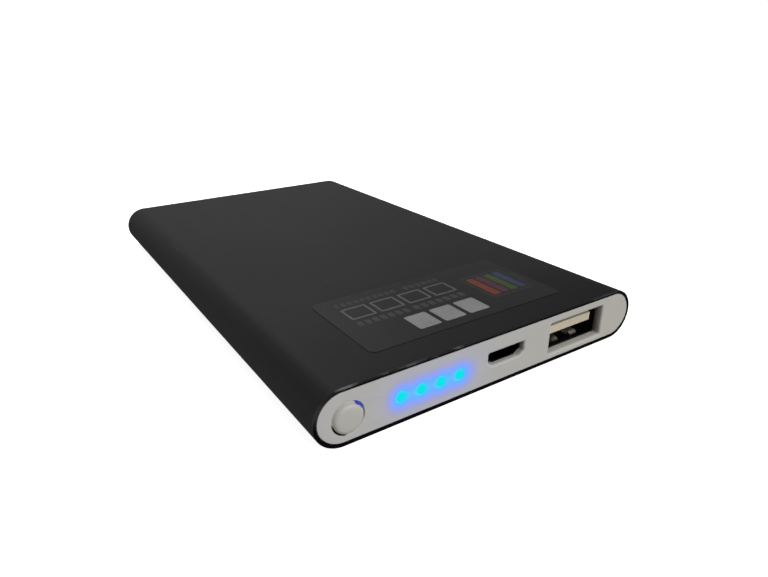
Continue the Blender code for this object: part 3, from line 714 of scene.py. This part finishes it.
def lens():
    """The ends of the light guide, with a painted glow: bright cyan, a little bluer towards their rims.
    """
    paint = Paint("lit_light_guide")
    x, _, z = paint.place()
    up = paint.minus(z, LED_Z)
    nearest = WIDTH
    for led_x in LED_X:
        nearest = paint.math("MINIMUM", paint.distance(paint.minus(x, led_x), up), nearest)
    rim = paint.range(nearest, 0.78 * LED_R, 1.08 * LED_R, smooth=True)
    colour = paint.mix(rim, tone((0.0, 0.76, 0.79)), tone((0.13, 0.55, 0.98)))
    gloss = paint.vary(paint.noise(0.2, 2.0), 0.5, 0.6)
    paint.set(base_color=tone((0.004, 0.02, 0.02)), roughness=gloss, specular_ior_level=0.05)
    paint.set(emission_color=colour, emission_strength=1.0)
    return paint.material


def lens_pieces():
    """The clear moulding behind the panel, with a faintly domed pin in each light hole."""
    half_bar = 0.65
    middle = ((GUIDE_LOW.x + GUIDE_HIGH.x) / 2, LED_Z)
    bar = rectangle((GUIDE_HIGH.x - GUIDE_LOW.x) / 2, half_bar, 0.2, middle)
    span = (BEHIND_PLATE, GUIDE_HIGH.y - FRONT)
    guide = plate("light_bar", [bar], "XZ", span, 0.08, "casing", ["light_guide"])
    guide.data.materials.append(lens())
    face = GUIDE_LOW.y - FRONT
    root = BEHIND_PLATE - 0.01
    dome = [(0.02, 0.0), (0.45, 0.01), (0.75, 0.03), (0.90, 0.07), (LED_R, 0.16)]
    profile = [*[(r, face + drop) for r, drop in dome], (LED_R, root), (0.02, root)]
    for i, x in enumerate(LED_X, 1):
        pin = turned(f"light_pin_{i}", profile, (x, LED_Z), "casing", steps=48)
        pin.data.materials.append(guide.data.materials[0])


# ---------------------------------------------------------------- The label


def film():
    """The label's thin dark film: smoother than the sleeve, with a faint orange peel."""
    paint = Paint("label_film")
    peel = paint.noise(0.9, 3.0, 0.5)
    cloudy = paint.noise(7.0, 2.0)
    body = paint.mix(cloudy, tone((0.0203, 0.0200, 0.0203)), tone((0.0230, 0.0226, 0.0226)))
    paint.set(base_color=body, roughness=paint.vary(peel, 0.36, 0.42), specular_ior_level=0.06)
    paint.set(normal=paint.bump(peel, 0.002, 0.4))
    return paint.material


def ink(name, colour):
    """Printing on the film, a little uneven."""
    paint = Paint(name)
    patchy = paint.range(paint.noise(0.7, 4.0, 0.6), 0.2, 0.5, 0.8, 1.0)
    faded = paint.range(paint.noise(5.0, 2.0), 0.3, 0.6, 0.88, 1.0)
    body = paint.mix(paint.times(patchy, faded), tone((0.024, 0.023, 0.023)), tone(colour))
    paint.set(base_color=body, roughness=0.45, specular_ior_level=0.06)
    return paint.material


def bar(x, depth, radius):
    """A rounded bar, from its span across and its span of depths."""
    half_x, half_depth = (x[1] - x[0]) / 2, (depth[1] - depth[0]) / 2
    centre = ((x[0] + x[1]) / 2, at_depth((depth[0] + depth[1]) / 2))
    return rectangle(half_x, half_depth, radius, centre, 4)


def row(x, depth, count, gap, radius, stroke=0.0):
    """Equal blocks side by side, hollow where a stroke is given."""
    loops = []
    width = (x[1] - x[0] + gap) / count - gap
    for i in range(count):
        start = x[0] + (width + gap) * i
        loops.append(bar((start, start + width), depth, radius))
        if stroke:
            across = (start + stroke, start + width - stroke)
            loops.append(bar(across, (depth[0] + stroke, depth[1] - stroke), radius - stroke * 0.7))
    return loops


def inset(span, by):
    return span[0] + by, span[1] - by


def label_pieces():
    """The film and its generic print: rows of plain blocks, and a battery sign."""
    top = LABEL_HIGH.z
    half_x = (LABEL_HIGH.x - LABEL_LOW.x) / 2
    half_y = (LABEL_HIGH.y - LABEL_LOW.y) / 2
    middle = (0.0, (LABEL_HIGH.y + LABEL_LOW.y) / 2)
    film_span = (HEIGHT + 0.003, top - 0.012)
    print_span = (film_span[1] - 0.006, top - 0.002)
    outline = rectangle(half_x, half_y, 1.3, middle, 16)
    replaced = ["top_label"]
    base = plate("label_film", [outline], "XY", film_span, 0.02, "casing", replaced, 2)
    base.data.materials.append(film())

    def printed(name, loops, colour):
        piece = plate(name, loops, "XY", print_span, 0.002, "casing", resolution=1)
        piece.data.materials.append(ink(name, colour))

    bold, small, hollow, fine = (7.9, 12.9), (14.2, 15.8), (16.9, 21.3), (22.3, 23.7)
    printed("print_bold_row", row((-9.7, 5.2), bold, 3, 0.9, 0.35), (0.25, 0.25, 0.25))
    words = row((-17.2, -7.0), small, 7, 0.5, 0.2) + row((-5.9, 5.2), small, 7, 0.5, 0.2)
    printed("print_small_row", words, (0.052, 0.052, 0.052))
    boxes = row((-17.1, 5.4), hollow, 4, 0.9, 0.35, 0.42)
    printed("print_hollow_row", boxes, (0.105, 0.105, 0.105))
    words = row((-17.1, -4.5), fine, 10, 0.45, 0.2) + row((-2.4, 5.4), fine, 6, 0.45, 0.2)
    printed("print_fine_row", words, (0.042, 0.042, 0.042))
    battery_sign(printed)


def battery_sign(printed):
    """A battery's outline and knob, with four coloured charge bars inside."""
    across, deep = (8.4, 18.6), (10.2, 20.6)
    knob_across, knob_deep = (across[1] + 0.2, across[1] + 1.1), (13.4, 17.4)
    wall, gap = 0.6, 0.5
    dim = (0.034, 0.034, 0.035)
    red, plum = (0.17, 0.042, 0.030), (0.075, 0.038, 0.050)
    green, blue = (0.052, 0.080, 0.026), (0.042, 0.050, 0.105)
    colours = (red, plum, green, blue)
    outline = [bar(across, deep, 1.2), bar(inset(across, wall), inset(deep, wall), 0.7)]
    printed("print_battery_outline", outline, dim)
    printed("print_battery_knob", [bar(knob_across, knob_deep, 0.25)], dim)
    step = (across[1] - across[0] - 2 * wall - gap) / len(colours)
    for i, colour in enumerate(colours):
        start = across[0] + wall + gap + step * i
        cell = bar((start, start + step - gap), inset(deep, wall + gap), 0.35)
        printed(f"print_charge_bar_{i + 1}", [cell], colour)


# ---------------------------------------------------------------- Finishes of the CAD nodes


def plain(name, colour, roughness, metallic, grain, bump):
    """A finish with slow colour drift, a fine grain in its gloss and a fine bump."""
    paint = Paint(name)
    fine = paint.noise(grain, 4.0)
    body = paint.mix(paint.noise(grain * 22, 2.0), tone(colour, 0.88), tone(colour, 1.12))
    gloss = paint.vary(fine, roughness - 0.06, roughness + 0.06)
    paint.set(base_color=body, roughness=gloss, metallic=metallic, normal=paint.bump(fine, bump, 0.6))
    return paint.material


def board_mask():
    """Solder mask over copper: tracks show as a slightly lighter, raised grid."""
    paint = Paint("board_green")
    values = {"Vector": paint.coords, "Scale": 1.0 / (3.0 * MM), "Randomness": 0.35}
    cells = paint.put("TexVoronoi", values, feature="DISTANCE_TO_EDGE")
    track = paint.range(cells.outputs["Distance"], 0.06, 0.10)
    body = paint.mix(track, tone((0.014, 0.145, 0.062)), tone((0.007, 0.090, 0.040)))
    paint.set(base_color=body, roughness=paint.vary(paint.noise(0.1, 3.0), 0.28, 0.38))
    paint.set(normal=paint.bump(track, 0.02, 0.4))
    return paint.material


def socket_steel():
    """Plated sheet, dark as painted shade inside the sockets, with a painted glint on the USB shell's
    leaf springs, stronger towards the right, and nearly black at the sockets' front edges.
    """
    paint = Paint("plated_steel")
    x, depth, z = paint.place()
    fine = paint.noise(0.2, 4.0)
    # Dark base: painted shade inside the sockets.
    body = paint.mix(paint.noise(4.0, 2.0), tone((0.050, 0.048, 0.047)), tone((0.065, 0.063, 0.062)))
    raised = paint.times(
        paint.range(z, USB_FLOOR + 0.06, USB_FLOOR + 0.14),
        paint.range(z, USB_FLOOR + 0.9, USB_FLOOR + 0.8),
    )
    off = paint.math("ABSOLUTE", paint.minus(x, USB_X))
    leaf = paint.times(raised, paint.math("LESS_THAN", off, 5.0))
    # Painted glint on the leaf springs, fainter towards the left.
    glint_ramp = paint.range(x, USB_X - 3.0, USB_X - 1.5, 0.15, 1.0)
    body = paint.mix(paint.times(leaf, glint_ramp), body, tone((0.86, 0.86, 0.85)))
    # Nearly black at the sockets' front edges, in front of about 2 mm depth.
    body = paint.mix(paint.range(depth, 1.95, 2.15, 1.0, 0.0), body, grey(0.012))
    paint.set(base_color=body, metallic=1.0, roughness=paint.vary(fine, 0.30, 0.42))
    paint.set(normal=paint.bump(fine, 0.003, 0.6))
    return paint.material


def foil():
    """The pouch's laminated foil, lightly crumpled."""
    paint = Paint("pouch_foil")
    folds = paint.noise(6.0, 5.0, 0.6)
    body = paint.mix(folds, tone((0.50, 0.51, 0.52)), tone((0.64, 0.65, 0.66)))
    paint.set(base_color=body, metallic=0.85, roughness=paint.vary(paint.noise(0.4, 3.0), 0.26, 0.38))
    paint.set(normal=paint.bump(folds, 0.25, 0.5))
    return paint.material


def foam():
    paint = Paint("grey_foam")
    values = {"Vector": paint.coords, "Scale": 1.0 / (0.5 * MM)}
    pores = paint.put("TexVoronoi", values).outputs["Distance"]
    body = paint.mix(pores, tone((0.03, 0.03, 0.033)), tone((0.12, 0.12, 0.13)))
    paint.set(base_color=body, roughness=0.95, normal=paint.bump(pores, 0.15, 0.8))
    return paint.material


def dress_nodes():
    """A procedural finish on every CAD node that stays."""
    finishes = {
        "white_abs": white_plastic("white_inner")[0].material,
        "board_green": board_mask(),
        "plated_steel": socket_steel(),
        "cream_nylon": plain("cream_nylon", (0.62, 0.56, 0.42), 0.5, 0.0, 0.1, 0.004),
        "gold_contact": plain("gold_contact", (0.83, 0.60, 0.23), 0.25, 1.0, 0.1, 0.001),
        "black_nylon": plain("black_nylon", (0.012, 0.012, 0.012), 0.55, 0.0, 0.1, 0.004),
        "led_white": plain("led_resin", (0.80, 0.85, 0.95), 0.25, 0.0, 0.2, 0.002),
        "ferrite": plain("ferrite", (0.05, 0.05, 0.055), 0.65, 0.0, 0.2, 0.02),
        "epoxy_black": plain("epoxy_black", (0.015, 0.015, 0.015), 0.55, 0.0, 0.08, 0.006),
        "ceramic_tan": plain("ceramic_tan", (0.42, 0.27, 0.15), 0.45, 0.0, 0.1, 0.004),
        "pouch_foil": foil(),
        "nickel": plain("nickel_strip", (0.60, 0.57, 0.50), 0.3, 1.0, 0.15, 0.002),
        "red_silicone": plain("red_silicone", (0.55, 0.02, 0.02), 0.45, 0.0, 0.3, 0.004),
        "black_silicone": plain("black_silicone", (0.015, 0.015, 0.015), 0.45, 0.0, 0.3, 0.004),
        "amber_tape": plain("amber_tape", (0.50, 0.24, 0.03), 0.25, 0.0, 0.8, 0.01),
        "grey_foam": foam(),
        "white_tape": plain("white_tape", (0.78, 0.78, 0.75), 0.7, 0.0, 0.3, 0.01),
        "zinc_steel": plain("zinc_steel", (0.50, 0.50, 0.52), 0.35, 1.0, 0.1, 0.002),
    }
    slots = {row["node"]: row["material_slot"] for row in frame["record"]["subparts"]}
    for name, node in frame["nodes"].items():
        if node.hide_render:
            continue
        node.data.materials.clear()
        node.data.materials.append(finishes[slots[name]])
    for name in ("usb_insulator", "usb_socket_shell"):
        weld = frame["nodes"][name].modifiers.new("Joined corners", "WELD")
        weld.merge_threshold = 0.001 * MM
        round_edges(frame["nodes"][name], 0.05)


# ---------------------------------------------------------------- Room, light and camera, in metres


def turned_stage(name, section, material, filled=False):
    """A stage surface turned about the vertical from its (radius, height) section."""
    bm = bmesh.new()
    rings = []
    for radius, height in section:
        rings.append([bm.verts.new((u, v, height)) for u, v in circle((0.0, 0.0), radius, 96)])
    skin(bm, rings)
    if filled:
        bm.faces.new(rings[0])
    bmesh.ops.recalc_face_normals(bm, faces=bm.faces)
    mesh = bpy.data.meshes.new(name)
    bm.to_mesh(mesh)
    bm.free()
    mesh.shade_smooth()
    mesh.materials.append(material)
    surface = bpy.data.objects.new(name, mesh)
    surface.location = (0.0, 0.0, -0.0001)
    surface.visible_glossy = False
    surface.visible_diffuse = False
    bpy.context.scene.collection.objects.link(surface)
    return surface


def room():
    """A pale floor that curves up into a wall."""
    paint = Paint("pale_floor")
    body = paint.mix(paint.noise(3.0, 3.0), grey(0.78), grey(0.80))
    paint.set(base_color=body, roughness=0.9, specular_ior_level=0.0)
    paint.set(emission_color=grey(1.0), emission_strength=0.85)

    floor_r, bend, rise, top = 3.0, 0.5, 1.2, 5.0
    angles = [math.pi / 2 * i / 16 for i in range(1, 17)]
    curve = [(floor_r + bend * math.sin(a), bend - bend * math.cos(a)) for a in angles]
    wall_r = floor_r + bend
    section = [(0.05, 0.0), (0.5, 0.0), (floor_r, 0.0), *curve, (wall_r, rise)]
    turned_stage("floor", section, paint.material, filled=True)
    wall = turned_stage("wall", [(wall_r, rise), (wall_r, top)], paint.material)
    wall.visible_shadow = False


def sky():
    """A grey world that is darker below the horizon."""
    world = bpy.data.worlds.new("studio")
    world.use_nodes = True
    tree = world.node_tree
    direction = tree.nodes.new("ShaderNodeTexCoord").outputs["Generated"]
    height = tree.nodes.new("ShaderNodeSeparateXYZ")
    spread = tree.nodes.new("ShaderNodeMapRange")
    spread.inputs["From Min"].default_value = -1.0
    ramp = tree.nodes.new("ShaderNodeValToRGB")
    background = tree.nodes["Background"]
    background.inputs["Strength"].default_value = 1.0
    tree.links.new(direction, height.inputs[0])
    tree.links.new(height.outputs["Z"], spread.inputs["Value"])
    tree.links.new(spread.outputs["Result"], ramp.inputs["Fac"])
    tree.links.new(ramp.outputs["Color"], background.inputs["Color"])
    below, horizon, above, zenith = (0.12,) * 3, (0.16,) * 3, (0.32,) * 3, (0.33,) * 3
    ramp_of(ramp, ((0.0, below), (0.49, horizon), (0.56, above), (1.0, zenith)))
    bpy.context.scene.world = world


def softbox(name, place, aim, size, power):
    lamp = bpy.data.lights.new(name, "AREA")
    lamp.shape = "RECTANGLE"
    lamp.size, lamp.size_y = size
    lamp.energy = power
    holder = bpy.data.objects.new(name, lamp)
    holder.location = place
    holder.rotation_euler = (Vector(aim) - Vector(place)).to_track_quat("-Z", "Y").to_euler()
    holder.visible_camera = False
    bpy.context.scene.collection.objects.link(holder)


def lights():
    """A soft key from the front right, a small overhead light over the plain end, a side fill."""
    softbox("key", (0.28, -0.83, 0.31), (-0.01, -0.05, 0.0), (0.55, 0.36), 5.1)
    softbox("overhead", (0.01, 0.10, 0.14), (0.01, 0.10, 0.0), (0.14, 0.14), 0.215)
    softbox("side", (-0.62, 0.10, 0.02), (-0.03, 0.0, 0.0), (0.42, 0.14), 1.8)


def camera():
    """The camera stands off the port end's left corner, looking down along the bank.

    Its place, its aim and its slight roll come from fitting the sleeve's outline to the photograph.
    """
    place = Vector((-61.36, -115.0, 53.10)) * MM
    ahead = Vector((0.50493, 0.76854, -0.39296))
    up_hint = Vector((0.2230, 0.3225, 0.9199))
    right = ahead.cross(up_hint).normalized()
    up = right.cross(ahead).normalized()
    turn = Matrix((right, up, -ahead.normalized())).transposed()
    lens_data = bpy.data.cameras.new("camera")
    lens_data.sensor_width = 36.0
    lens_data.lens = 27.94
    lens_data.clip_start = 0.005
    lens_data.clip_end = 20.0
    holder = bpy.data.objects.new("camera", lens_data)
    holder.matrix_world = Matrix.Translation(place) @ turn.to_4x4()
    bpy.context.scene.collection.objects.link(holder)
    bpy.context.scene.camera = holder


sleeve_piece()
panel_piece()
cap_piece()
button_piece()
lens_pieces()
label_pieces()
dress_nodes()
room()
sky()
lights()
camera()
bpy.context.scene.view_settings.view_transform = "Standard"
